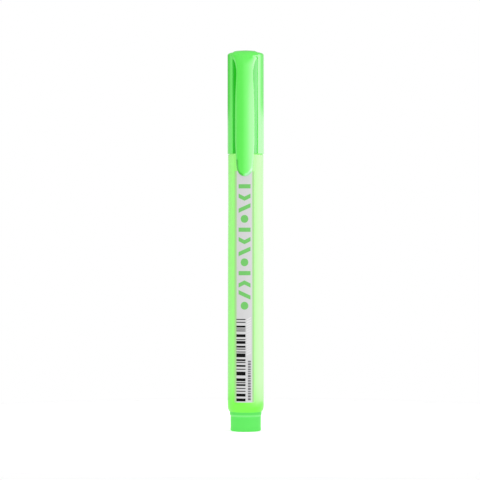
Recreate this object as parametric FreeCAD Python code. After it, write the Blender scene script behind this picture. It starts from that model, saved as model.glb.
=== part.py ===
import FreeCAD, Part
import math
import os

# Capped pen-style highlighter, in millimetres. The pen's axis is Z, its rear end stands on z = 0,
# its nib and cap point up, and the cap's clip is on the -Y side. Radii are measured from Z.

Vector = FreeCAD.Vector
ORIGIN = Vector(0, 0, 0)
AXIS = Vector(0, 0, 1)

# ---- driving dimensions -------------------------------------------------------------------------
TOTAL_LENGTH = 132.0
CAP_LENGTH = 36.0
CAP_RADIUS = 6.31
CLIP_REACH = 7.9            # the clip's tip hangs this far below the cap's mouth
BARREL_REAR_RADIUS = 6.28
BARREL_WAIST_RADIUS = 6.10
BARREL_FRONT_RADIUS = 6.15
BARREL_BORE_RADIUS = 5.28
PLUG_SHOWING = 6.7          # length of the rear plug outside the barrel
PLUG_RADIUS = 5.32
NECK_RADIUS = 5.36
NECK_LENGTH = 8.15          # the barrel's neck inside the cap's skirt
NIB_WIDTH = 4.36            # across the pen, along X
NIB_THICKNESS = 3.16        # along Y
NIB_TIP_Z = 126.2
FIT_GAP = 0.02              # between pieces pushed together for good
SLIDE_GAP = 0.05            # between pieces that slide or turn on each other

# ---- heights worked out from them ---------------------------------------------------------------
CAP_MOUTH_Z = TOTAL_LENGTH - CAP_LENGTH
SHOULDER_Z = CAP_MOUTH_Z - 0.15
NECK_END_Z = SHOULDER_Z + NECK_LENGTH
CLIP_TIP_Z = CAP_MOUTH_Z - CLIP_REACH

# ---- barrel -------------------------------------------------------------------------------------
REAR_RIM_RADIUS = 5.68
REAR_ROUND_Z = PLUG_SHOWING + 1.9
WIDE_END_Z, WAIST_Z, FLARE_Z = 62.0, 79.0, 95.6
WIDE_END_RADIUS = 6.20
NECK_BORE_RADIUS = 4.50
NECK_BORE_Z = 94.6          # the wide bore tapers into the neck's bore just under here
BORE_FRONT_RADIUS = 5.20
VENT_RIBS = 6
VENT_RIB_WIDTH = 0.5
VENT_RIB_REACH = 4.92       # the ribs' inner edges, which hold the reservoir off the wall
VENT_RIB_Z = (14.0, 92.0)

# ---- reservoir ----------------------------------------------------------------------------------
CORE_RADIUS = 4.74
FILM_THICKNESS = 0.14
FILM_LAP_ANGLE = 24.0       # the film's sealed lap, between two vent ribs
FILM_LAP_HEIGHT = 0.14
RESERVOIR_Z = (12.6, 93.0)

# ---- rear plug ----------------------------------------------------------------------------------
PLUG_FLANGE_RADIUS = 5.58
PLUG_FLANGE_Z = 5.4
PLUG_SEAT_RADIUS = 5.30
PLUG_SEAT_TOP_Z = 11.9
PLUG_CAVITY_RADIUS = 4.3
PLUG_FLOOR = 2.0
PLUG_WEB = 0.8

# ---- front section and nib ----------------------------------------------------------------------
SECTION_FLANGE_RADIUS = 5.05
SECTION_SEAL_RADIUS = 4.30
SECTION_BEAD_RADIUS = 4.35
SECTION_NOSE_Z = 119.4
SECTION_CAVITY_RADIUS = 3.5
SECTION_WEBS = 4
NIB_TAIL_Z = 86.5
NIB_CORNER = 0.7
VENT_SLOT = (0.6, 0.35)     # width and depth of the air slots beside the nib

# ---- inner cap ----------------------------------------------------------------------------------
LINER_RADIUS = 5.10
LINER_SEAL_RADIUS = SECTION_BEAD_RADIUS + SLIDE_GAP
LINER_MOUTH_Z = 105.6
LINER_TOP_Z = 129.8

# ---- cap shell and clip -------------------------------------------------------------------------
CROWN_RADIUS = 18.8
CROWN_EDGE = 4.9            # where the domed top rolls over into the cap's side
CAP_BORE_RADIUS = 5.46
CAP_LINER_BORE_RADIUS = 5.16
CAP_BORE_TOP_Z = 130.2
CHANNEL_HALF_WIDTH = 4.4    # the straight-sided channel down the cap under the clip
CHANNEL_FLOOR_RADIUS = 5.95
CHANNEL_TOP_Z = 129.6
CLIP_FACE_RADIUS = 8.15
CLIP_CROWN_RADIUS = 5.5     # the blade's front is rounder than the cap behind it
CLIP_BACK_RADIUS = 6.95
CLIP_BEAD_RADIUS = 6.36     # the grip bead near the clip's tip
CLIP_ROOT_Z = 125.6
KNUCKLE_Y = -7.5            # the axis that the clip bends about, along X
KNUCKLE_RADIUS = 0.65
KNUCKLE_GAP = 0.03

# Half of the clip's width as seen from the front, as (half width, height): root, waist, blade, tip.
CLIP_SIDE = [
    (4.62, TOTAL_LENGTH + 0.6),
    (4.42, 130.4),
    (3.87, 128.7),
    (3.26, 127.0),
    (3.0, 125.2),
    (2.94, 122.8),
    (3.07, 120.3),
    (3.27, 117.2),
    (3.40, 113.4),
    (3.45, 107.5),
    (3.38, 101.0),
    (3.20, 97.0),
    (2.98, 93.6),
    (2.80, 91.5),
    (2.36, 90.0),
    (1.5, 88.8),
]

# ---- label --------------------------------------------------------------------------------------
LABEL_HALF_ANGLE = 33.0
LABEL_TURN = -1.6           # the strip sits a little to the -X side of the clip
LABEL_THICKNESS = 0.08
LABEL_Z = (10.2, 90.0)       # its upper end is just behind the clip's tip


def outline(start, steps, place):
    """A closed wire. A step is an end point, or a (through, end) pair for an arc."""
    edges, here = [], place(start)
    for step in steps:
        end = place(step[1] if isinstance(step[0], tuple) else step)
        if isinstance(step[0], tuple):
            edges.append(Part.Arc(here, place(step[0]), end).toShape())
        else:
            edges.append(Part.LineSegment(here, end).toShape())
        here = end
    if here.distanceToPoint(place(start)) > 1e-6:
        edges.append(Part.LineSegment(here, place(start)).toShape())
    return Part.Wire(Part.__sortEdges__(edges))


def front_plane(point):
    """A (radius, height) pair on the half-plane that faces -Y."""
    return Vector(0, -point[0], point[1])


def elevation(point):
    """An (x, height) pair on the plane y = 0."""
    return Vector(point[0], 0, point[1])


def lathe(start, *steps):
    """The solid of a (radius, height) outline turned once round Z."""
    return Part.Face(outline(start, steps, front_plane)).revolve(ORIGIN, AXIS, 360)


def sector(half_angle, start, *steps):
    """The same outline turned only from -half_angle to +half_angle about the -Y direction."""
    face = Part.Face(outline(start, steps, front_plane))
    face.rotate(ORIGIN, AXIS, -half_angle)
    return face.revolve(ORIGIN, AXIS, 2 * half_angle)


def slab(width, depth, low, high, y=0.0):
    """A box centred on x = 0 and on the given y."""
    return Part.makeBox(width, depth, high - low, Vector(-width / 2, y - depth / 2, low))


def turned(shape, angle):
    copy = shape.copy()
    copy.rotate(ORIGIN, AXIS, angle)
    return copy


def barrel_line():
    """The outside of the barrel from its rear round to the shoulder, as (radius, height) points."""
    return [
        (BARREL_REAR_RADIUS, REAR_ROUND_Z),
        (WIDE_END_RADIUS, WIDE_END_Z),
        (BARREL_WAIST_RADIUS, WAIST_Z),
        (BARREL_FRONT_RADIUS, FLARE_Z),
    ]


def barrel_radius(z):
    """The barrel's outer radius at a height between its rear round and its shoulder."""
    line = barrel_line()
    for (r0, z0), (r1, z1) in zip(line, line[1:]):
        if z0 <= z <= z1:
            return r0 + (r1 - r0) * (z - z0) / (z1 - z0)
    raise ValueError(f"no barrel wall at {z}")


def crown_z(radius):
    """The height of the cap's slightly domed top at a radius."""
    return TOTAL_LENGTH - CROWN_RADIUS + math.sqrt(CROWN_RADIUS**2 - radius**2)


def barrel():
    """A tube with a rounded rear rim, a stepped neck with a snap bead, and vent ribs inside."""
    bead_z = SHOULDER_Z + 4.0
    shell = lathe(
        (PLUG_SEAT_RADIUS, PLUG_SHOWING),
        (REAR_RIM_RADIUS, PLUG_SHOWING),
        ((REAR_RIM_RADIUS + 0.43, PLUG_SHOWING + 0.78), barrel_line()[0]),
        *barrel_line()[1:],
        (BARREL_FRONT_RADIUS - 0.15, SHOULDER_Z),
        (NECK_RADIUS, SHOULDER_Z),
        (NECK_RADIUS, bead_z - 0.6),
        ((NECK_RADIUS + 0.05, bead_z), (NECK_RADIUS, bead_z + 0.6)),
        (NECK_RADIUS, NECK_END_Z - 0.5),
        (NECK_RADIUS - 0.3, NECK_END_Z),
        (NECK_BORE_RADIUS, NECK_END_Z),
        (NECK_BORE_RADIUS, NECK_BORE_Z),
        (BORE_FRONT_RADIUS, NECK_BORE_Z - 0.8),
        (BARREL_BORE_RADIUS, PLUG_SEAT_TOP_Z + 0.9),
        (PLUG_SEAT_RADIUS, PLUG_SEAT_TOP_Z + 0.6),
    )
    low, high = VENT_RIB_Z
    wall = BARREL_BORE_RADIUS + 0.25
    rib = slab(VENT_RIB_WIDTH, wall - VENT_RIB_REACH, low, high, (wall + VENT_RIB_REACH) / 2)
    return shell.fuse([turned(rib, n * 360 / VENT_RIBS) for n in range(VENT_RIBS)]).removeSplitter()


def rear_plug():
    """The end plug: a cup with a standing ring, a flange against the barrel and a cross of webs inside."""
    cup = lathe(
        (0, 0.3),
        (3.9, 0.3),
        (4.2, 0),
        (4.70, 0),
        ((5.14, 0.18), (PLUG_RADIUS, 0.62)),
        (PLUG_RADIUS, PLUG_FLANGE_Z - 0.2),
        (PLUG_RADIUS + 0.06, PLUG_FLANGE_Z),
        (
            (PLUG_FLANGE_RADIUS - 0.13, PLUG_FLANGE_Z + 0.13),
            (PLUG_FLANGE_RADIUS - 0.06, PLUG_FLANGE_Z + 0.4),
        ),
        (PLUG_FLANGE_RADIUS, PLUG_SHOWING),
        (PLUG_SEAT_RADIUS, PLUG_SHOWING),
        (PLUG_SEAT_RADIUS, PLUG_SEAT_TOP_Z - 0.6),
        (PLUG_SEAT_RADIUS - 0.35, PLUG_SEAT_TOP_Z),
        (PLUG_CAVITY_RADIUS, PLUG_SEAT_TOP_Z),
        (PLUG_CAVITY_RADIUS, PLUG_FLOOR),
        (0, PLUG_FLOOR),
    )
    web = slab(2 * PLUG_CAVITY_RADIUS + 0.4, PLUG_WEB, PLUG_FLOOR - 0.2, PLUG_SEAT_TOP_Z)
    seat = slab(2 * 3.4, PLUG_WEB, PLUG_SEAT_TOP_Z - 0.2, RESERVOIR_Z[0])
    return cup.fuse([web, turned(web, 90), seat, turned(seat, 90)]).removeSplitter()


def nib():
    """A bar of felt with a slanted chisel end, thinned to a writing edge, and a blunt tail."""
    bar = slab(NIB_WIDTH, NIB_THICKNESS, NIB_TAIL_Z, NIB_TIP_Z)
    uprights = [e for e in bar.Edges if abs(e.tangentAt(e.FirstParameter).z) > 0.99]
    bar = bar.makeFillet(NIB_CORNER, uprights)
    tail = [e for e in bar.Edges if e.BoundBox.ZMax < NIB_TAIL_Z + 1e-6]
    bar = bar.makeChamfer(0.55, tail)
    side, edge, slant_drop, thinning = 4.0, 0.85, 2.9, 5.6
    slant = [
        (-side, NIB_TIP_Z - slant_drop * (side / NIB_WIDTH + 0.5)),
        (side, NIB_TIP_Z + slant_drop * (side / NIB_WIDTH - 0.5)),
        (side, NIB_TIP_Z + 3),
        (-side, NIB_TIP_Z + 3),
    ]
    cutter = Part.Face(outline(slant[0], slant[1:], elevation)).extrude(Vector(0, 2 * side, 0))
    cutter.translate(Vector(0, -side, 0))
    bar = bar.cut(cutter)
    for way in (1, -1):
        wedge = [
            (NIB_THICKNESS / 2 * way, NIB_TIP_Z - thinning),
            (side * way, NIB_TIP_Z - thinning),
            (side * way, NIB_TIP_Z + 1),
            (edge * way, NIB_TIP_Z + 1),
        ]
        face = Part.Face(outline(wedge[0], wedge[1:], lambda p: Vector(-side, p[0], p[1])))
        bar = bar.cut(face.extrude(Vector(2 * side, 0, 0)))
    return bar


def nib_channel(low, high):
    """The hole that grips the nib, with an air slot down each narrow side."""
    hole = slab(NIB_WIDTH + 2 * FIT_GAP, NIB_THICKNESS + 2 * FIT_GAP, low, high)
    uprights = [e for e in hole.Edges if abs(e.tangentAt(e.FirstParameter).z) > 0.99]
    width, depth = VENT_SLOT
    slots = slab(NIB_WIDTH + 2 * depth, width, low, high)
    return hole.makeFillet(NIB_CORNER, uprights).fuse(slots)


def front_section():
    """The nib holder: a hollow seat in the barrel's neck, a flange, a beaded seal collar and a cone."""
    seat_z = RESERVOIR_Z[1] + 0.1
    cone_z, bead_z = NECK_END_Z + 7.0, NECK_END_Z + 4.1
    holder = lathe(
        (SECTION_CAVITY_RADIUS, seat_z),
        (NECK_BORE_RADIUS - 0.15, seat_z),
        (NECK_BORE_RADIUS, seat_z + 0.4),
        (NECK_BORE_RADIUS, NECK_END_Z),
        (SECTION_FLANGE_RADIUS, NECK_END_Z),
        (SECTION_FLANGE_RADIUS, NECK_END_Z + 0.75),
        (SECTION_FLANGE_RADIUS - 0.15, NECK_END_Z + 0.9),
        (SECTION_SEAL_RADIUS + 0.2, NECK_END_Z + 0.9),
        (SECTION_SEAL_RADIUS, NECK_END_Z + 1.1),
        (SECTION_SEAL_RADIUS, bead_z - 0.5),
        ((SECTION_BEAD_RADIUS, bead_z), (SECTION_SEAL_RADIUS, bead_z + 0.5)),
        (SECTION_SEAL_RADIUS, cone_z - 0.8),
        ((SECTION_SEAL_RADIUS - 0.03, cone_z - 0.35), (SECTION_SEAL_RADIUS - 0.12, cone_z + 0.1)),
        (3.22, SECTION_NOSE_Z - 0.6),
        ((3.06, SECTION_NOSE_Z - 0.16), (2.85, SECTION_NOSE_Z)),
        (0, SECTION_NOSE_Z),
        (0, NECK_END_Z - 1.2),
        (SECTION_CAVITY_RADIUS, NECK_END_Z - 2.4),
    )
    low = seat_z + 1.5
    web = slab(0.7, SECTION_CAVITY_RADIUS - 1.2, low, NECK_END_Z - 1.0, (SECTION_CAVITY_RADIUS + 1.6) / 2)
    holder = holder.fuse([turned(web, n * 360 / SECTION_WEBS) for n in range(SECTION_WEBS)])
    return holder.cut(nib_channel(seat_z - 1, SECTION_NOSE_Z + 1)).removeSplitter()


def reservoir_core(nib_solid):
    """The bundled fibre filler, with the pocket that the nib's tail presses into it."""
    low, high = RESERVOIR_Z
    core = lathe(
        (0, low),
        (CORE_RADIUS - 0.3, low),
        ((CORE_RADIUS - 0.08, low + 0.08), (CORE_RADIUS, low + 0.3)),
        (CORE_RADIUS, high - 0.3),
        ((CORE_RADIUS - 0.08, high - 0.08), (CORE_RADIUS - 0.3, high)),
        (0, high),
    )
    return core.cut(nib_solid)


def reservoir_film():
    """The thin plastic film wrapped round the filler, with its lengthwise sealed lap."""
    low, high = RESERVOIR_Z[0] + 0.3, RESERVOIR_Z[1] - 0.3
    outer = CORE_RADIUS + FILM_THICKNESS
    wrap = lathe((CORE_RADIUS, low), (outer, low), (outer, high), (CORE_RADIUS, high))
    lap_top = outer + FILM_LAP_HEIGHT
    lap = sector(
        FILM_LAP_ANGLE / 2, (outer - 0.05, low), (lap_top, low), (lap_top, high), (outer - 0.05, high)
    )
    return wrap.fuse(turned(lap, 180 / VENT_RIBS)).removeSplitter()


def inner_cap():
    """The sealing liner: a closed tube whose mouth wipes the front section's bead."""
    return lathe(
        (LINER_SEAL_RADIUS + 0.25, LINER_MOUTH_Z),
        (LINER_RADIUS, LINER_MOUTH_Z),
        (LINER_RADIUS, LINER_TOP_Z - 1.2),
        ((LINER_RADIUS - 0.35, LINER_TOP_Z - 0.35), (LINER_RADIUS - 1.2, LINER_TOP_Z)),
        (0, LINER_TOP_Z),
        (0, LINER_TOP_Z - 1.0),
        (3.2, LINER_TOP_Z - 1.0),
        ((3.75, LINER_TOP_Z - 1.25), (4.0, LINER_TOP_Z - 1.8)),
        (4.2, LINER_MOUTH_Z + 6.4),
        (LINER_SEAL_RADIUS, LINER_MOUTH_Z + 5.4),
        (LINER_SEAL_RADIUS, LINER_MOUTH_Z + 0.7),
    )


def clip_outline():
    """The clip seen from the front, as a prism: wide root, waist, long blade and oval tip."""
    sides = []
    for sign in (1, -1):
        points = [elevation((sign * half_width, z)) for half_width, z in [*CLIP_SIDE, (0, CLIP_TIP_Z)]]
        curve = Part.BSplineCurve()
        curve.interpolate(
            Points=points,
            InitialTangent=Vector(0, 0, -1),
            FinalTangent=Vector(-sign, 0, 0),
        )
        sides.append(curve.toShape())
    root_width, root_z = CLIP_SIDE[0]
    top = Part.LineSegment(elevation((root_width, root_z)), elevation((-root_width, root_z)))
    face = Part.Face(Part.Wire([*sides, top.toShape()]))
    return face.extrude(Vector(0, -12, 0))


def clip_front():
    """The round solid whose side is the clip's crowned front face. It turns about an axis of its own."""
    axis = Vector(0, CLIP_CROWN_RADIUS - CLIP_FACE_RADIUS, 0)
    tip_z = CLIP_TIP_Z - 1
    top = outline(
        (0, tip_z),
        [
            (CLIP_CROWN_RADIUS - 0.42, tip_z),
            ((CLIP_CROWN_RADIUS - 0.1, CLIP_TIP_Z + 4.0), (CLIP_CROWN_RADIUS, CLIP_TIP_Z + 9.0)),
            (CLIP_CROWN_RADIUS, TOTAL_LENGTH - 10.0),
            (
                (CLIP_CROWN_RADIUS - 0.12, TOTAL_LENGTH - 6.2),
                (CLIP_CROWN_RADIUS - 0.5, TOTAL_LENGTH - 3.0),
            ),
            (
                (CLIP_CROWN_RADIUS - 1.25, TOTAL_LENGTH - 1.25),
                (CLIP_CROWN_RADIUS - 3.0, TOTAL_LENGTH - 0.5),
            ),
            (0, TOTAL_LENGTH - 0.42),
        ],
        lambda p: axis + front_plane(p),
    )
    return Part.Face(top).revolve(axis, AXIS, 360)


def clip_back():
    """The space behind the clip: as round as the cap, out to the root and in over the grip bead."""
    return lathe(
        (0, CLIP_TIP_Z - 2),
        (CLIP_BEAD_RADIUS + 0.9, CLIP_TIP_Z - 2),
        (CLIP_BEAD_RADIUS + 0.75, CLIP_TIP_Z - 0.4),
        ((CLIP_BEAD_RADIUS, CLIP_TIP_Z + 2.0), (CLIP_BEAD_RADIUS + 0.28, CLIP_TIP_Z + 3.9)),
        (CLIP_BACK_RADIUS, CLIP_TIP_Z + 6.0),
        (CLIP_BACK_RADIUS, CLIP_ROOT_Z - 1.2),
        ((CLIP_BACK_RADIUS - 0.25, CLIP_ROOT_Z - 0.35), (CLIP_BACK_RADIUS - 0.85, CLIP_ROOT_Z)),
        (CAP_LINER_BORE_RADIUS + 0.4, CLIP_ROOT_Z),
        (CAP_LINER_BORE_RADIUS + 0.4, TOTAL_LENGTH - 1.9),
        (CROWN_EDGE - 0.9, TOTAL_LENGTH - 1.4),
        (0, TOTAL_LENGTH - 1.4),
    )


def whole_clip():
    """Root and blade in one piece, as moulded."""
    half = slab(20, 20, CLIP_TIP_Z - 1, TOTAL_LENGTH, -12.5)
    return clip_outline().common(clip_front()).common(half).cut(clip_back()).Solids[0]


def knuckle(radius):
    """A round bar along X on the axis that the clip bends about."""
    return Part.makeCylinder(radius, 14, Vector(-7, KNUCKLE_Y, CLIP_ROOT_Z), Vector(1, 0, 0))


def above(z):
    return slab(40, 40, z, z + 60)


def below(z):
    return slab(40, 40, z - 60, z)


def clip_arm(clip):
    """The part of the clip that bends: the blade, ending in a round knuckle at the root."""
    blade = clip.common(below(CLIP_ROOT_Z - KNUCKLE_GAP))
    return blade.fuse(clip.common(knuckle(KNUCKLE_RADIUS))).removeSplitter()


def cap_shell(clip):
    """The cap with its crowned top, stepped bore, snap groove, clip channel and the clip's root block."""
    groove_z = SHOULDER_Z + 4.0
    shell = lathe(
        (CAP_BORE_RADIUS + 0.18, CAP_MOUTH_Z),
        (CAP_RADIUS - 0.14, CAP_MOUTH_Z),
        ((CAP_RADIUS - 0.04, CAP_MOUTH_Z + 0.04), (CAP_RADIUS, CAP_MOUTH_Z + 0.14)),
        (CAP_RADIUS, TOTAL_LENGTH - 2.3),
        ((CAP_RADIUS - 0.4, TOTAL_LENGTH - 1.27), (CROWN_EDGE, crown_z(CROWN_EDGE))),
        ((CROWN_EDGE / 2, crown_z(CROWN_EDGE / 2)), (0, TOTAL_LENGTH)),
        (0, CAP_BORE_TOP_Z),
        (CAP_LINER_BORE_RADIUS - 1.0, CAP_BORE_TOP_Z),
        (
            (CAP_LINER_BORE_RADIUS - 0.29, CAP_BORE_TOP_Z - 0.29),
            (CAP_LINER_BORE_RADIUS, CAP_BORE_TOP_Z - 1.0),
        ),
        (CAP_LINER_BORE_RADIUS, LINER_MOUTH_Z - 0.3),
        (CAP_BORE_RADIUS, LINER_MOUTH_Z - 0.9),
        (CAP_BORE_RADIUS, groove_z + 0.9),
        ((CAP_BORE_RADIUS + 0.05, groove_z), (CAP_BORE_RADIUS, groove_z - 0.9)),
        (CAP_BORE_RADIUS, CAP_MOUTH_Z + 0.3),
    )
    channel = slab(2 * CHANNEL_HALF_WIDTH, 10, CAP_MOUTH_Z - 1, CHANNEL_TOP_Z, -5)
    core = Part.makeCylinder(CHANNEL_FLOOR_RADIUS, TOTAL_LENGTH)
    shell = shell.cut(channel.cut(core))
    root = clip.common(above(CLIP_ROOT_Z)).cut(knuckle(KNUCKLE_RADIUS + KNUCKLE_GAP))
    bore = Part.makeCylinder(CAP_LINER_BORE_RADIUS, CAP_BORE_TOP_Z - 1.0)
    return shell.fuse(root.cut(bore)).removeSplitter()


def label_film():
    """The printed film stuck along the front of the barrel."""
    low, high = LABEL_Z
    inner = [(barrel_radius(low), low), *barrel_line()[1:3], (barrel_radius(high), high)]
    outer = [(r + LABEL_THICKNESS, z) for r, z in reversed(inner)]
    return turned(sector(LABEL_HALF_ANGLE, inner[0], *inner[1:], *outer), LABEL_TURN)


def build():
    nib_solid, clip = nib(), whole_clip()
    return {
        "barrel": barrel(),
        "rear_plug": rear_plug(),
        "front_section": front_section(),
        "nib": nib_solid,
        "reservoir_core": reservoir_core(nib_solid),
        "reservoir_film": reservoir_film(),
        "label_film": label_film(),
        "inner_cap": inner_cap(),
        "cap_shell": cap_shell(clip),
        "clip_arm": clip_arm(clip),
    }


os.makedirs("parts", exist_ok=True)
for name, shape in build().items():
    if not shape.isValid():
        raise ValueError(f"{name} isn't a valid shape")
    solids = shape.Solids
    print(f"{name}: {len(solids)} solid, {sum(s.Volume for s in solids):.1f} mm3, "
          f"z {shape.BoundBox.ZMin:.2f} to {shape.BoundBox.ZMax:.2f}")
    whole = solids[0] if len(solids) == 1 else Part.makeCompound(solids)
    whole.exportStep(f"parts/{name}.step")
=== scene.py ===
import math
import random

import bmesh
import bpy
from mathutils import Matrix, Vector


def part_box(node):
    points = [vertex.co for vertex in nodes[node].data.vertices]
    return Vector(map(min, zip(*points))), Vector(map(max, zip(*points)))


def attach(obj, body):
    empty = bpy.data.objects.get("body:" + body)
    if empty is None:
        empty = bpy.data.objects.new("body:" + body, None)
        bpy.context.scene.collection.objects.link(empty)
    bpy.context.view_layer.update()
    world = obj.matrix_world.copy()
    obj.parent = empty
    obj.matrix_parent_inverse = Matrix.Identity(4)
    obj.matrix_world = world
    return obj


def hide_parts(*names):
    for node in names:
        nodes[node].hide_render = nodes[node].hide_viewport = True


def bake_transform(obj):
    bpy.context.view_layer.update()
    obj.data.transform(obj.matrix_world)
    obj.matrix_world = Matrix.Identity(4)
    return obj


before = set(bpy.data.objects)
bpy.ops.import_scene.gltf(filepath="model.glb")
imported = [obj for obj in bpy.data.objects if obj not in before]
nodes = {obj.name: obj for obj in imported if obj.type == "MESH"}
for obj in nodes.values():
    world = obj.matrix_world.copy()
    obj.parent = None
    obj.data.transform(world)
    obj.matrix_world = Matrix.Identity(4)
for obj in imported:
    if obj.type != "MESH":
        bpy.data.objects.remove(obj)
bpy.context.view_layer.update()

MM = 0.001

# ---- places taken from the frame, in metres -----------------------------------------------------
CAP_LOW, CAP_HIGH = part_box("cap_shell")
TOP = CAP_HIGH.z
CAP_RADIUS = CAP_HIGH.x
CAP_MOUTH = CAP_LOW.z
CLIP_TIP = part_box("clip_arm")[0].z

# ---- geometry helpers ---------------------------------------------------------------------------


def new_object(name, bm, smooth=True):
    """An object made of a bmesh, in the row frame."""
    bmesh.ops.remove_doubles(bm, verts=bm.verts, dist=1e-7)
    bmesh.ops.recalc_face_normals(bm, faces=bm.faces)
    mesh = bpy.data.meshes.new(name)
    bm.to_mesh(mesh)
    bm.free()
    for polygon in mesh.polygons:
        polygon.use_smooth = smooth
    obj = bpy.data.objects.new(name, mesh)
    bpy.context.scene.collection.objects.link(obj)
    return obj


def crease_normals(obj, degrees=35):
    """Sharp edges stay sharp and the rest is shaded smooth, through the mesh's own edge marks."""
    mesh = obj.data
    bm = bmesh.new()
    bm.from_mesh(mesh)
    for edge in bm.edges:
        edge.smooth = len(edge.link_faces) != 2 or edge.calc_face_angle() < math.radians(degrees)
    bm.to_mesh(mesh)
    bm.free()


def rounded_outline(corners, steps=5):
    """Points along a closed (radius, height) outline, with each corner rounded by its own radius in mm."""
    points = []
    count = len(corners)
    for i, (r, z, fillet) in enumerate(corners):
        here = Vector((r, z))
        before = Vector(corners[i - 1][:2]) - here
        after = Vector(corners[(i + 1) % count][:2]) - here
        if fillet <= 0:
            points.append(here)
            continue
        half = before.angle(after) / 2
        reach = min(fillet / math.tan(half), 0.49 * before.length, 0.49 * after.length)
        start = here + before.normalized() * reach
        end = here + after.normalized() * reach
        for k in range(steps + 1):
            t = k / steps
            points.append(start.lerp(here, t).lerp(here.lerp(end, t), t))
    return points


def ease(t):
    t = min(max(t, 0.0), 1.0)
    return t * t * (3 - 2 * t)


def blend_rows(rows, t):
    """A smooth row of values at t from rows that each start with their own t, by Catmull-Rom."""
    keys = [row[0] for row in rows]
    i = max(k for k in range(len(keys) - 1) if keys[k] <= t or k == 0)
    before, here = rows[max(i - 1, 0)], rows[i]
    there, after = rows[i + 1], rows[min(i + 2, len(rows) - 1)]
    u = (t - here[0]) / (there[0] - here[0])
    values = []
    for k in range(1, len(here)):
        step = there[0] - here[0]
        m0 = (there[k] - before[k]) / max(there[0] - before[0], 1e-9) * step
        m1 = (after[k] - here[k]) / max(after[0] - here[0], 1e-9) * step
        values.append(
            (2 * u**3 - 3 * u**2 + 1) * here[k] + (u**3 - 2 * u**2 + u) * m0
            + (3 * u**2 - 2 * u**3) * there[k] + (u**3 - u**2) * m1
        )
    return values


def skin_rings(bm, rings, closed_rings=True, closed_loop=False):
    """Faces between neighbouring rings of vertices."""
    pairs = list(zip(rings, rings[1:]))
    if closed_loop:
        pairs.append((rings[-1], rings[0]))
    for a, b in pairs:
        count = len(a)
        for i in range(count if closed_rings else count - 1):
            j = (i + 1) % count
            corners = [a[i], a[j], b[j], b[i]]
            unique = list(dict.fromkeys(corners))
            if len(unique) > 2:
                bm.faces.new(unique)


# ---- the cap ------------------------------------------------------------------------------------
CHANNEL_FLOOR = CAP_RADIUS - 0.36 * MM
CHANNEL_HALF_ANGLE = math.asin(4.4 * MM / CAP_RADIUS)
CHANNEL_TOP = TOP - 2.6 * MM
CAP_BORE = 5.6 * MM         # anything nearer the axis than this is inside the cap


def cap_outline():
    """The cap's section: outside from the mouth to the crown, then the stepped bore back down, in mm."""
    top, mouth = TOP / MM, CAP_MOUTH / MM
    r, bore = CAP_RADIUS / MM, 5.46
    groove = mouth + 3.85
    crown = [(k * 0.7, top - (k * 0.7) ** 2 / 30.0, 0) for k in range(7, 0, -1)]
    outside = [(bore + 0.2, mouth, 0.08), (r, mouth, 0.16), (r, top - 1.2, 1.35)]
    inside = [
        (5.16, top - 1.8, 0.9),
        (5.16, mouth + 9.4, 0.15),
        (bore, mouth + 8.7, 0.15),
        (bore, groove + 0.9, 0.1),
        (bore + 0.06, groove, 0.3),
        (bore, groove - 0.9, 0.1),
        (bore, mouth + 0.4, 0.1),
    ]
    return outside + crown + [(0, top, 0), (0, top - 1.8, 0)] + inside


def channel_depth(angle):
    """How much of the channel's full depth an angle from the -Y direction has, from 0 to 1."""
    wall = math.radians(1.4)
    return 1 - ease((abs(angle) - CHANNEL_HALF_ANGLE + wall / 2) / wall)


def cap_angles():
    """Angles from the -Y direction all round, closer together at the channel's two walls."""
    steps = (-1.6, -0.75, -0.45, -0.15, 0.15, 0.45, 0.75, 1.6)
    wall = [CHANNEL_HALF_ANGLE + math.radians(degrees) for degrees in steps]
    front = [k * CHANNEL_HALF_ANGLE * 0.95 / 9 for k in range(1, 10)]
    back_from = CHANNEL_HALF_ANGLE + math.radians(3.5)
    back = [back_from + k * (math.pi - back_from) / 34 for k in range(34)]
    half = front + wall + back
    return [0.0] + half + [math.pi] + [-a for a in reversed(half)]


def make_cap():
    """The cap shell with its clip channel, as one quad mesh."""
    bm = bmesh.new()
    rings = []
    skin = CHANNEL_FLOOR - 0.05 * MM     # the channel is cut only into points further out than this
    for angle in cap_angles():
        ring = []
        for point in rounded_outline(cap_outline(), steps=6):
            r, z = point.x * MM, point.y * MM
            fade = 1 - ease((z - CHANNEL_TOP) / (0.8 * MM))
            if r > skin:
                r -= (CAP_RADIUS - CHANNEL_FLOOR) * channel_depth(angle) * fade
            ring.append(bm.verts.new((r * math.sin(angle), -r * math.cos(angle), z)))
        rings.append(ring)
    skin_rings(bm, rings, closed_rings=True, closed_loop=True)
    cap = new_object("cap_body", bm)
    # Painted shade: faces in the clip's channel get the second, deeper green material.
    for polygon in cap.data.polygons:
        x, y, z = polygon.center
        outward = math.hypot(x, y)
        in_channel = abs(math.atan2(x, -y)) < CHANNEL_HALF_ANGLE + math.radians(0.3)
        if in_channel and CAP_BORE < outward < CAP_RADIUS - 0.12 * MM and z < CHANNEL_TOP:
            polygon.material_index = 1
    crease_normals(cap, 40)
    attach(cap, "cap")
    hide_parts("cap_shell")
    return cap


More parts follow.
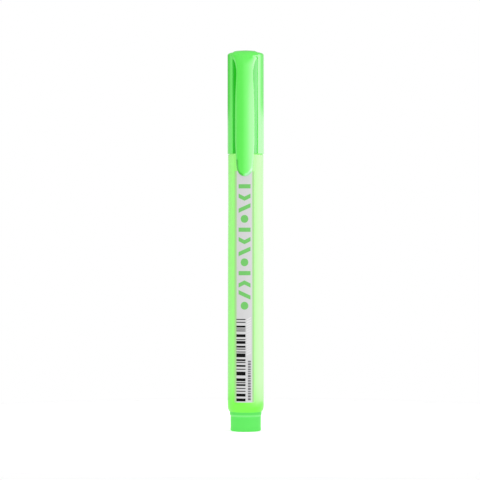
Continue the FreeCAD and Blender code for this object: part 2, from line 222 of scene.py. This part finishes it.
# ---- the clip -----------------------------------------------------------------------------------
# Stations along the clip's front centre line, in mm below the cap's top and out from the pen's axis:
# (station, out, below top, half width, crown sagitta at the edge, edge round, thickness).
CLIP_STATIONS = [
    (0.0, 2.3, 0.16, 3.90, 0.10, 0.9, 1.1),
    (0.1, 3.6, 0.30, 4.30, 0.14, 0.95, 1.1),
    (0.2, 5.0, 0.42, 4.55, 0.20, 1.0, 1.2),
    (0.3, 6.2, 0.78, 4.58, 0.35, 1.0, 1.5),
    (0.4, 7.15, 1.60, 4.42, 0.60, 0.8, 1.9),
    (0.5, 7.65, 2.80, 4.05, 0.85, 0.6, 2.2),
    (0.6, 7.92, 4.60, 3.39, 0.90, 0.5, 2.3),
    (0.7, 8.05, 6.60, 3.02, 0.86, 0.45, 1.9),
    (0.8, 8.11, 8.60, 2.93, 0.84, 0.42, 1.2),
    (0.9, 8.14, 11.4, 3.05, 0.92, 0.42, 1.15),
    (1.0, 8.15, 15.0, 3.27, 1.05, 0.42, 1.15),
    (1.1, 8.15, 20.0, 3.43, 1.15, 0.42, 1.15),
    (1.2, 8.15, 26.0, 3.44, 1.17, 0.42, 1.15),
    (1.3, 8.15, 32.0, 3.35, 1.12, 0.42, 1.15),
    (1.4, 8.12, 37.5, 3.06, 1.08, 0.50, 1.15),
    (1.5, 7.98, 41.2, 2.84, 1.04, 0.80, 1.35),
    (1.6, 7.80, 43.9, 2.80, 1.00, 0.85, 1.40),
]
TIP_OVAL = 4.2 * MM         # length of the oval end
TIP_WIDTH = 2.8 * MM        # half width where the oval begins
TIP_POWER = 2.4             # 2 would be an ellipse; more is blunter
BACK_RADIUS = 6.95 * MM     # the blade's hollow back is a little wider than the cap


def clip_station(t):
    """(centre point, inward normal, half width, sagitta, edge round, thickness) at a station, in metres."""
    out, down, width, sagitta, edge, thick = blend_rows(CLIP_STATIONS, t)
    ahead = blend_rows(CLIP_STATIONS, min(t + 0.004, CLIP_STATIONS[-1][0]))
    behind = blend_rows(CLIP_STATIONS, max(t - 0.004, 0.0))
    along = Vector((0, -(ahead[0] - behind[0]), -(ahead[1] - behind[1]))).normalized()
    inward = Vector((0, -along.z, along.y))
    centre = Vector((0, -out * MM, TOP - down * MM))
    reach = (centre.z - CLIP_TIP) / TIP_OVAL
    if reach < 1:
        width *= max(1 - (1 - max(reach, 0)) ** TIP_POWER, 0) ** (1 / TIP_POWER)
    return centre, inward, width * MM, sagitta * MM, edge * MM, thick * MM


def edge_drop(distance, edge):
    """How far a rounded edge has fallen away at a distance in from the outline."""
    if distance >= edge:
        return 0.0
    return edge - math.sqrt(max(edge**2 - (edge - distance) ** 2, 0))


def clip_section(t, slope, lateral):
    """The front and back points of the clip's section at a station."""
    centre, inward, width, sagitta, edge, thick = clip_station(t)
    lean = math.sqrt(1 + slope**2)
    full = CLIP_STATIONS[-1][3] * MM
    front, back = [], []
    for u in lateral:
        x = u * width
        inset = (width - abs(x)) / lean
        crown = sagitta * (x / full) ** 2
        hollow = x**2 / (2 * BACK_RADIUS)
        face = crown + edge_drop(inset, edge)
        rear = max(thick + hollow - edge_drop(inset, edge * 0.45), face + 0.02 * MM)
        front.append(centre + Vector((x, 0, 0)) + inward * face)
        back.append(centre + Vector((x, 0, 0)) + inward * rear)
    return front, back


def painted_tip_light_at(x, z):
    """Painted light on the clip's tip: from -1 for painted shade on its left edge to 1 for a painted
    highlight on its lower and right edge, and 0 elsewhere.
    """
    down = max(1 - (z - CLIP_TIP) / TIP_OVAL, 0)
    near_edge = (abs(x / TIP_WIDTH) ** TIP_POWER + down**TIP_POWER) ** (1 / TIP_POWER)
    shade = ease((near_edge - 0.74) / 0.14) * ease((CAP_MOUTH - 1.6 * MM - z) / (0.8 * MM))
    if x < -0.6 * MM:
        return -shade
    bright = ease((near_edge - 0.66) / 0.22) * ease((CLIP_TIP + 4 * MM - z) / (2.5 * MM))
    return bright * ease((x + 0.6 * MM) / (1.2 * MM))


def make_clip():
    """Root and blade as one smooth moulding, from the cap's top down to the clip's tip."""
    bm = bmesh.new()
    painted_tip_light = bm.verts.layers.float.new("painted_tip_light")
    height = bm.verts.layers.float.new("height")
    lateral = [math.sin(math.pi / 2 * k / 16) for k in range(-16, 17)]
    last = CLIP_STATIONS[-1][0]
    tip_start = 1.44
    stations = [k * tip_start / 96 for k in range(96)]
    stations += [tip_start + (last - tip_start) * math.sin(math.pi / 2 * k / 22) for k in range(23)]
    near = 0.002
    rings = []
    for t in stations:
        low, high = clip_station(max(t - near, 0)), clip_station(min(t + near, last))
        run = (high[0] - low[0]).length
        slope = (high[2] - low[2]) / run if t > tip_start else 0.0
        front, back = clip_section(t, slope, lateral)
        rings.append([bm.verts.new(p) for p in front + back[::-1]])
        for vertex in rings[-1]:
            vertex[height] = vertex.co.z
        # Painted shade and highlight for the tip, stored on the front vertices.
        for vertex in rings[-1][:len(front)]:
            vertex[painted_tip_light] = painted_tip_light_at(vertex.co.x, vertex.co.z)
    skin_rings(bm, rings)
    bm.faces.new(rings[0])
    bm.faces.new(rings[-1][::-1])
    clip = new_object("clip_blade", bm)
    crease_normals(clip, 50)
    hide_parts("clip_arm")
    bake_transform(clip)
    return clip


# ---- the label's print --------------------------------------------------------------------------
FIELD_TURN = math.radians(-1.6)      # the middle of the label's grey field
FIELD_HALF_ANGLE = math.radians(25.5)
PRINT_TURN = math.radians(-1.0)
PRINT_THICKNESS = 0.02 * MM
PRINT_PAINTED_GLOW = 5.5            # painted glow of the print, standing for light that comes through it, for each part that it reflects
FILM_THICKNESS = 0.08 * MM
BARREL_PROFILE = ((8.6, 6.28), (62.0, 6.20), (79.0, 6.10), (95.6, 6.15))    # (height, radius) in mm


def label_radius(z):
    """The label's outer radius at a height."""
    spans = list(zip(BARREL_PROFILE, BARREL_PROFILE[1:]))
    low, high = next((span for span in spans if z <= span[1][0] * MM), spans[-1])
    part = (z / MM - low[0]) / (high[0] - low[0])
    return (low[1] + (high[1] - low[1]) * part) * MM + FILM_THICKNESS


def add_patch(bm, columns):
    """A thin printed shape wrapped round the label, given as (sideways, low, high) columns in mm."""
    layers = []
    for lift in (-0.01 * MM, PRINT_THICKNESS):
        rows = []
        for v in (0, 0.5, 1):
            row = []
            for x, low, high in columns:
                z = (low + (high - low) * v) * MM
                radius = label_radius(z) + lift
                angle = x * MM / radius + PRINT_TURN
                row.append(bm.verts.new((radius * math.sin(angle), -radius * math.cos(angle), z)))
            rows.append(row)
        layers.append(rows)
        skin_rings(bm, rows, closed_rings=False)
    rims = [[*rows[0], rows[1][-1], *rows[2][::-1], rows[1][0]] for rows in layers]
    skin_rings(bm, rims)


def band(left, right, low, high, count=8):
    """The columns of a shape from its lower and upper edge, each a number or a function of x."""
    columns = []
    for k in range(count + 1):
        x = left + (right - left) * k / count
        columns.append((x, low(x) if callable(low) else low, high(x) if callable(high) else high))
    return columns


def make_print(name, shapes):
    bm = bmesh.new()
    for columns in shapes:
        add_patch(bm, columns)
    obj = new_object(name, bm)
    crease_normals(obj, 40)
    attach(obj, "barrel")
    return obj


def stroke_marks():
    """A plain row of marker strokes down the label: level, slanted and bent ones, and dots."""
    top, half, thick, pitch, count = 84.7, 2.1, 1.45, 3.74, 12
    marks = []
    for k in range(count):
        z = top - k * pitch
        kind = k % 4
        if kind == 3:
            reach = 1.35
            marks.append(band(
                -reach, reach,
                lambda x: z - math.sqrt(max(reach**2 - x**2, 0.001)),
                lambda x: z + math.sqrt(max(reach**2 - x**2, 0.001)),
                16,
            ))
            continue
        slope, bend = ((0, 0), (0, 0.5), (0.45, 0))[kind]
        if k > count // 2:
            slope, bend = -slope, -bend
        marks.append(band(
            -half, half,
            lambda x: z + slope * x + bend * (abs(x) - half / 2) - thick / 2,
            lambda x: z + slope * x + bend * (abs(x) - half / 2) + thick / 2,
            10,
        ))
    return marks


def bar_pattern():
    """A field of plain bars with made-up widths, in the low left part of the label."""
    draw = random.Random(4)
    module, left, right = 0.33, -2.95, 0.36
    z, end = 39.0, 10.9
    bars = []
    while z > end:
        width = module * draw.choice((1, 1, 2, 2, 3, 4))
        bars.append(band(left, right, z - width, z))
        z -= width + module * draw.choice((1, 1, 2, 3))
    return bars


def dash_rows():
    """Short dashes beside the bars where fine print would be, with no lettering in them."""
    draw = random.Random(9)
    left, right, gap = 1.2, 2.2, 0.3
    z, end = 24.6, 11.0
    dashes = []
    while z > end:
        width = draw.choice((0.4, 0.55, 0.7))
        dashes.append(band(left, right, z - width, z, 2))
        z -= width + gap
    return dashes


def pale_rows():
    """Pale slanted hatching above the dark dashes."""
    left, right, thick, slope, pitch = 0.75, 2.3, 0.32, 0.55, 0.86
    z, end = 38.4, 26.0
    strokes = []
    while z > end:
        strokes.append(band(left, right, lambda x: z - thick + slope * x, lambda x: z + slope * x, 4))
        z -= pitch
    return strokes


# ---- materials ----------------------------------------------------------------------------------
# Painted shade: between two heights the painted glow falls to a share of what it is below.
CROWN_PAINTED_SHADE = (TOP - 1.3 * MM, TOP, 0.68)
PLUG_PAINTED_SHADE = (5.7 * MM, 6.2 * MM, 0.93)


def material(name):
    mat = bpy.data.materials.new(name)
    mat.use_nodes = True
    nodes = mat.node_tree.nodes
    return mat, mat.node_tree, nodes["Principled BSDF"]


def math_node(tree, operation, *values):
    node = tree.nodes.new("ShaderNodeMath")
    node.operation = operation
    for socket, value in zip(node.inputs, values):
        if isinstance(value, (int, float)):
            socket.default_value = value
        else:
            tree.links.new(value, socket)
    return node.outputs["Value"]


def step_node(tree, value, start, end, first=0.0, last=1.0):
    span = tree.nodes.new("ShaderNodeMapRange")
    span.interpolation_type = "SMOOTHSTEP"
    for name, number in (("From Min", start), ("From Max", end), ("To Min", first), ("To Max", last)):
        span.inputs[name].default_value = number
    tree.links.new(value, span.inputs["Value"])
    return span.outputs["Result"]


def mix_values(tree, factor, a, b):
    node = tree.nodes.new("ShaderNodeMix")
    for name, value in (("Factor", factor), ("A", a), ("B", b)):
        if isinstance(value, (int, float)):
            node.inputs[name].default_value = value
        else:
            tree.links.new(value, node.inputs[name])
    return node.outputs["Result"]


def mix_colours(tree, factor, a, b):
    """Colour a turning into colour b; each is a socket or a plain colour."""
    node = tree.nodes.new("ShaderNodeMix")
    node.data_type = "RGBA"
    tree.links.new(factor, node.inputs["Factor"])
    for name, colour in (("A", a), ("B", b)):
        if isinstance(colour, tuple):
            node.inputs[name].default_value = (*colour, 1)
        else:
            tree.links.new(colour, node.inputs[name])
    return node.outputs["Result"]


def object_place(tree):
    """The sockets X, Y and Z of a point in the row frame, in metres."""
    split = tree.nodes.new("ShaderNodeSeparateXYZ")
    tree.links.new(tree.nodes.new("ShaderNodeTexCoord").outputs["Object"], split.inputs["Vector"])
    return split.outputs


def add_noise(tree, scale, detail=3.0, stretch=(1, 1, 1)):
    """Noise in the object's own coordinates, which are the row frame's."""
    place = tree.nodes.new("ShaderNodeTexCoord")
    mapping = tree.nodes.new("ShaderNodeMapping")
    mapping.inputs["Scale"].default_value = stretch
    noise = tree.nodes.new("ShaderNodeTexNoise")
    noise.inputs["Scale"].default_value = scale
    noise.inputs["Detail"].default_value = detail
    tree.links.new(place.outputs["Object"], mapping.inputs["Vector"])
    tree.links.new(mapping.outputs["Vector"], noise.inputs["Vector"])
    return noise.outputs["Fac"]


def add_ramp(tree, factor, low, high, colours=None):
    """Maps a factor onto numbers from low to high, or onto two colours."""
    if colours:
        return mix_colours(tree, add_ramp(tree, factor, 0.0, 1.0), *colours)
    span = tree.nodes.new("ShaderNodeMapRange")
    span.inputs["From Min"].default_value = 0.3
    span.inputs["From Max"].default_value = 0.7
    span.inputs["To Min"].default_value = low
    span.inputs["To Max"].default_value = high
    tree.links.new(factor, span.inputs["Value"])
    return span.outputs["Result"]


def add_bump(tree, shader, factor, strength, distance):
    bump = tree.nodes.new("ShaderNodeBump")
    bump.inputs["Strength"].default_value = strength
    bump.inputs["Distance"].default_value = distance
    tree.links.new(factor, bump.inputs["Height"])
    tree.links.new(bump.outputs["Normal"], shader.inputs["Normal"])


def glossy_plastic(name, colours, painted_glow=(0, 0, 0), gloss=(0.07, 0.12), depth=0.5, shine=1.0):
    """Dyed plastic under a shiny skin that takes up more light the more it is seen edge on.

    Two close tints in broad clouds, a faint ripple, and a painted glow: partly the dye's real fluorescence,
    partly painted light that keeps the plastic evenly bright."""
    mat, tree, shader = material(name)
    cloud = add_noise(tree, 60, 2)
    fine = add_noise(tree, 900, 4)
    tree.links.new(add_ramp(tree, cloud, 0, 1, colours), shader.inputs["Base Color"])
    shader.inputs["Roughness"].default_value = 0.5
    shader.inputs["Specular IOR Level"].default_value = 0.0
    shader.inputs["Coat Weight"].default_value = shine
    shader.inputs["Coat IOR"].default_value = 1.5
    shader.inputs["Coat Tint"].default_value = (depth, depth, depth, 1)
    tree.links.new(add_ramp(tree, fine, *gloss), shader.inputs["Coat Roughness"])
    # Painted glow: the plastic gives off this light whatever lamps fall on it.
    shader.inputs["Emission Color"].default_value = (*painted_glow, 1)
    shader.inputs["Emission Strength"].default_value = 1.0
    add_bump(tree, shader, cloud, 0.15, 0.05 * MM)
    return mat


def paint_shade_above(mat, height, start, end, strength):
    """Painted shade: less painted glow from inside the plastic above a height."""
    tree = mat.node_tree
    fade = step_node(tree, height, start, end, 1.0, strength)
    tree.links.new(fade, tree.nodes["Principled BSDF"].inputs["Emission Strength"])
    return mat


def cap_plastic(name, colours, painted_glow):
    """The cap's plastic, with painted shade darkening its crown."""
    mat = glossy_plastic(name, colours, painted_glow)
    return paint_shade_above(mat, object_place(mat.node_tree)["Z"], *CROWN_PAINTED_SHADE)


def vertex_value(tree, name):
    """A number stored on the mesh's vertices, which stays with them when the piece bends."""
    node = tree.nodes.new("ShaderNodeAttribute")
    node.attribute_name = name
    return node.outputs["Fac"]


def clip_plastic(name, colours, painted_glow):
    """The cap's plastic, with a painted highlight on the clip tip's lower and right edge, painted shade on
    its left edge, and painted shade in the crown.
    """
    mat = glossy_plastic(name, colours, painted_glow)
    tree = mat.node_tree
    edge = vertex_value(tree, "painted_tip_light")
    # Painted highlight towards a pale green, then painted shade towards a dark green.
    shaded = mix_colours(tree, step_node(tree, edge, 0.0, 1.0), painted_glow, (0.72, 1.55, 0.85))
    shaded = mix_colours(tree, step_node(tree, edge, -1.0, 0.0, 1.0, 0.0), shaded, (0.03, 0.85, 0.005))
    tree.links.new(shaded, tree.nodes["Principled BSDF"].inputs["Emission Color"])
    return paint_shade_above(mat, vertex_value(tree, "height"), *CROWN_PAINTED_SHADE)


def white_plastic(name):
    """Natural plastic, with a painted glow about as bright as the light it reflects, for the light it lets
    through.
    """
    return glossy_plastic(name, ((0.24, 0.255, 0.225), (0.28, 0.295, 0.26)), (0.27, 0.29, 0.25), depth=1)


def clear_plastic(name, tint, roughness=0.04):
    mat, tree, shader = material(name)
    shader.inputs["Base Color"].default_value = (*tint, 1)
    shader.inputs["Transmission Weight"].default_value = 1.0
    shader.inputs["IOR"].default_value = 1.47
    fine = add_noise(tree, 700, 3)
    tree.links.new(add_ramp(tree, fine, roughness, roughness * 2), shader.inputs["Roughness"])
    return mat


def milky_plastic(name, colours, low_painted_glow, high_painted_glow):
    """The tinted tube, with a painted glow for the inked filler behind it: deep at the rear, paler further
    up.
    """
    mat = glossy_plastic(name, colours, gloss=(0.05, 0.09), shine=0.8)
    tree = mat.node_tree
    shader = tree.nodes["Principled BSDF"]
    shader.inputs["Transmission Weight"].default_value = 0.25
    rise = step_node(tree, object_place(tree)["Z"], 7.5 * MM, 19 * MM)
    tree.links.new(mix_colours(tree, rise, low_painted_glow, high_painted_glow), shader.inputs["Emission Color"])
    return mat


def plug_plastic(name, colours, painted_glow):
    """The rear plug: painted shade where it enters the barrel, with a thin painted highlight line at its
    moulded step.
    """
    mat = glossy_plastic(name, colours, painted_glow, depth=0.8, shine=0.4)
    tree = mat.node_tree
    height = object_place(tree)["Z"]
    # Painted highlight: a thin paler band of glow at the moulded step.
    step_highlight = mix_values(
        tree, step_node(tree, height, 5.5 * MM, 5.9 * MM), step_node(tree, height, 4.9 * MM, 5.3 * MM), 0.0
    )
    highlight_glow = (painted_glow[0] + 0.11, painted_glow[1] + 0.08, painted_glow[2] + 0.11)
    shader = tree.nodes["Principled BSDF"]
    tree.links.new(mix_colours(tree, step_highlight, painted_glow, highlight_glow), shader.inputs["Emission Color"])
    return paint_shade_above(mat, height, *PLUG_PAINTED_SHADE)


def fibre(name, colours, painted_glow=0.0):
    """Bundled fibres that run along the pen, with an optional painted glow in their lighter tint."""
    mat, tree, shader = material(name)
    strands = add_noise(tree, 2500, 4, stretch=(1, 1, 0.03))
    tree.links.new(add_ramp(tree, strands, 0, 1, colours), shader.inputs["Base Color"])
    shader.inputs["Roughness"].default_value = 0.75
    shader.inputs["Emission Color"].default_value = (*colours[1], 1)
    shader.inputs["Emission Strength"].default_value = painted_glow
    add_bump(tree, shader, strands, 0.5, 0.08 * MM)
    return mat


def ink_print(name, colours):
    """Satin print on the barrel, with a painted glow standing for light that comes through from behind:
    most of its brightness is this glow.
    """
    mat, tree, shader = material(name)
    grain = add_noise(tree, 4000, 3)
    ink = add_ramp(tree, grain, 0, 1, colours)
    tree.links.new(ink, shader.inputs["Base Color"])
    tree.links.new(ink, shader.inputs["Emission Color"])
    shader.inputs["Emission Strength"].default_value = PRINT_PAINTED_GLOW
    shader.inputs["Roughness"].default_value = 0.7
    shader.inputs["Specular IOR Level"].default_value = 0.06
    add_bump(tree, shader, grain, 0.1, 0.01 * MM)
    return mat


def label_paint(name, grey, edge):
    """Satin grey print with a painted shadow of the barrel's darkened green along the strip's two long
    edges.
    """
    mat = ink_print(name, grey)
    tree = mat.node_tree
    shader = tree.nodes["Principled BSDF"]
    place = object_place(tree)
    depth = math_node(tree, "MULTIPLY", place["Y"], -1)
    angle = math_node(tree, "SUBTRACT", math_node(tree, "ARCTAN2", place["X"], depth), FIELD_TURN)
    aside = math_node(tree, "ABSOLUTE", angle)
    fade = math.radians(2)
    # Painted shadow: the label's edges turn to darkened green.
    painted_edge_shadow = step_node(tree, aside, FIELD_HALF_ANGLE - fade, FIELD_HALF_ANGLE + fade)
    colour = mix_colours(tree, painted_edge_shadow, shader.inputs["Base Color"].links[0].from_socket, edge)
    tree.links.new(colour, shader.inputs["Base Color"])
    tree.links.new(colour, shader.inputs["Emission Color"])
    return mat


def paint(obj, *mats):
    slots = obj.data.materials
    while len(slots) < len(mats):
        slots.append(None)
    for i, mat in enumerate(mats):
        slots[i] = mat


# ---- build --------------------------------------------------------------------------------------
cap = make_cap()
clip = make_clip()
marks = make_print("label_strokes", stroke_marks())
bars = make_print("label_bars", bar_pattern())
dashes = make_print("label_dashes", dash_rows())
pale = make_print("label_pale_dashes", pale_rows())

GREEN = ((0.06, 0.20, 0.05), (0.065, 0.215, 0.055))
# Painted glow of the green plastic, standing partly for its fluorescence and partly for even light.
GREEN_PAINTED_GLOW = (0.20, 1.56, 0.155)
green = cap_plastic("green_plastic", GREEN, GREEN_PAINTED_GLOW)
# Painted shade: a deeper green with less glow, for the channel under the clip.
channel_painted_shade = glossy_plastic(
    "channel_painted_shade", ((0.012, 0.24, 0.010), (0.015, 0.26, 0.012)), (0.011, 0.63, 0.010), shine=0.85
)
plug_green = plug_plastic(
    "plug_green", ((0.02, 0.07, 0.02), (0.022, 0.075, 0.022)), (0.10, 0.815, 0.097)
)
barrel_green = milky_plastic(
    "clear_barrel", ((0.04, 0.42, 0.02), (0.045, 0.45, 0.023)), (0.27, 1.16, 0.06), (0.50, 1.15, 0.315)
)
paint(cap, green, channel_painted_shade)
paint(clip, clip_plastic("clip_plastic", GREEN, GREEN_PAINTED_GLOW))
paint(nodes["rear_plug"], plug_green)
paint(nodes["barrel"], barrel_green)
paint(nodes["front_section"], white_plastic("white_section"))
paint(nodes["inner_cap"], white_plastic("white_liner"))
paint(nodes["nib"], fibre("nib_felt", ((0.055, 0.36, 0.02), (0.07, 0.40, 0.03)), painted_glow=1.0))
paint(nodes["reservoir_core"], fibre("ink_fibre", ((0.19, 0.95, 0.06), (0.26, 1.0, 0.10))))
paint(nodes["reservoir_film"], clear_plastic("wrap_film", (0.75, 1.0, 0.62), 0.1))
label_grey = ((0.094, 0.094, 0.095), (0.098, 0.098, 0.098))
paint(nodes["label_film"], label_paint("label_grey", label_grey, (0.058, 0.104, 0.042)))
paint(marks, ink_print("print_green", ((0.026, 0.083, 0.021), (0.028, 0.087, 0.023))))
paint(bars, ink_print("print_black", ((0.0007, 0.0007, 0.0007), (0.0011, 0.0011, 0.0011))))
paint(dashes, ink_print("print_dark", ((0.02, 0.02, 0.021), (0.026, 0.026, 0.027))))
paint(pale, ink_print("print_pale", ((0.115, 0.114, 0.115), (0.122, 0.121, 0.122))))

# ---- stage, light and camera --------------------------------------------------------------------
VIEW_AZIMUTH = math.radians(3)
LENS, SENSOR = 180.0, 36.0
FRAME_WIDTH = 166.56 * MM
PEN_RIGHT_OF_CENTRE = 1.98 * MM
VIEW_HEIGHT = 66.2 * MM

# Studio walls as seen from the pen: (degrees from the clip's side towards +X, radiance).
WALLS_HIGH = (
    (-180, 1.0), (-170, 1.0), (-162, 0.15), (-118, 0.15), (-112, 0.9), (-84, 1.0), (-76, 0.15), (-25, 0.2),
    (-7, 1.2), (19, 2.3), (34, 3.7), (49, 5.8), (60, 6.9), (97, 7.6), (108, 4.2), (118, 1.9), (130, 0.8),
    (153, 1.1), (165, 1.0), (180, 1.0),
)
WALLS_LOW = (
    (-180, 1.0), (-118, 0.9), (-112, 1.2), (-84, 1.3), (-76, 0.15), (-25, 0.2),
    (-7, 1.2), (19, 2.3), (34, 3.7), (49, 5.8), (60, 6.9), (86, 8.0), (107, 7.2), (118, 5.4), (132, 3.6),
    (153, 2.0), (165, 1.2), (180, 1.0),
)
BRIGHTEST = 8.0
HORIZON = 2.6               # degrees: the high walls are above it and the low ones below


def make_floor():
    bpy.ops.mesh.primitive_circle_add(vertices=96, radius=0.16, fill_type="NGON", location=(0, 0, 0))
    floor = bpy.context.object
    floor.name = "floor"
    mat, _, shader = material("white_sweep")
    shader.inputs["Base Color"].default_value = (0.93, 0.93, 0.93, 1)
    shader.inputs["Roughness"].default_value = 0.9
    paint(floor, mat)


def wall_ramp(tree, factor, walls):
    """The walls' radiance at a turn round the pen, from 0 at its back through 0.5 at the clip to 1."""
    node = tree.nodes.new("ShaderNodeValToRGB")
    elements = node.color_ramp.elements
    while len(elements) < len(walls):
        elements.new(0.5)
    for element, (degrees, _) in zip(elements, walls):
        element.position = degrees / 360 + 0.5
    for element, (_, radiance) in zip(elements, walls):
        element.color = (*[radiance / BRIGHTEST] * 3, 1)
    tree.links.new(factor, node.inputs["Fac"])
    return math_node(tree, "MULTIPLY", node.outputs["Color"], BRIGHTEST)


def make_world():
    """A white studio: a wide bright wall on the right, a strip on the left and dark flanks between."""
    world = bpy.data.worlds.new("studio")
    bpy.context.scene.world = world
    world.use_nodes = True
    tree = world.node_tree
    split = tree.nodes.new("ShaderNodeSeparateXYZ")
    tree.links.new(tree.nodes.new("ShaderNodeTexCoord").outputs["Generated"], split.inputs["Vector"])
    ahead = math_node(tree, "MULTIPLY", split.outputs["Y"], -1)
    azimuth = math_node(tree, "ARCTAN2", split.outputs["X"], ahead)
    turn = math_node(tree, "MULTIPLY_ADD", azimuth, 1 / math.tau, 0.5)
    elevation = math_node(tree, "ARCSINE", split.outputs["Z"])
    above = step_node(tree, elevation, math.radians(HORIZON - 0.3), math.radians(HORIZON + 0.3))
    walls = mix_values(tree, above, wall_ramp(tree, turn, WALLS_LOW), wall_ramp(tree, turn, WALLS_HIGH))
    away = step_node(tree, math_node(tree, "ABSOLUTE", elevation), math.radians(10), math.radians(20))
    light = mix_values(tree, away, walls, 0.6)
    seen = tree.nodes.new("ShaderNodeLightPath").outputs["Is Camera Ray"]
    background = tree.nodes["Background"]
    background.inputs["Color"].default_value = (1, 1, 1, 1)
    tree.links.new(mix_values(tree, seen, light, 1.0), background.inputs["Strength"])


def add_lamp(name, place, target, size, energy, spread=180):
    """A soft lamp that lights things but leaves the reflections to the studio walls."""
    lamp = bpy.data.lights.new(name, "AREA")
    lamp.size = size
    lamp.energy = energy
    lamp.spread = math.radians(spread)
    obj = bpy.data.objects.new(name, lamp)
    obj.location = place
    obj.rotation_euler = (Vector(target) - Vector(place)).to_track_quat("-Z", "Y").to_euler()
    obj.visible_glossy = False
    bpy.context.scene.collection.objects.link(obj)


def make_camera():
    camera = bpy.data.objects.new("camera", bpy.data.cameras.new("camera"))
    camera.data.lens, camera.data.sensor_width = LENS, SENSOR
    distance = FRAME_WIDTH * LENS / SENSOR
    back = Vector((math.sin(VIEW_AZIMUTH), -math.cos(VIEW_AZIMUTH), 0))
    right = Vector((math.cos(VIEW_AZIMUTH), math.sin(VIEW_AZIMUTH), 0))
    target = Vector((0, 0, VIEW_HEIGHT)) - right * PEN_RIGHT_OF_CENTRE
    camera.location = target + back * distance
    camera.rotation_euler = (-back).to_track_quat("-Z", "Y").to_euler()
    camera.data.clip_start, camera.data.clip_end = 0.01, 20
    bpy.context.scene.collection.objects.link(camera)
    bpy.context.scene.camera = camera


make_floor()
make_world()
add_lamp("key", (-0.30, -0.42, 0.62), (0, 0, VIEW_HEIGHT), size=0.5, energy=2.2)
for side in (-1, 1):
    add_lamp("floor_wash", (side * 0.13, 0, 0.3), (side * 0.1, 0, 0), size=0.15, energy=0.18, spread=100)
make_camera()
bpy.context.scene.view_settings.view_transform = "Standard"
bpy.context.scene.cycles.use_denoising = True
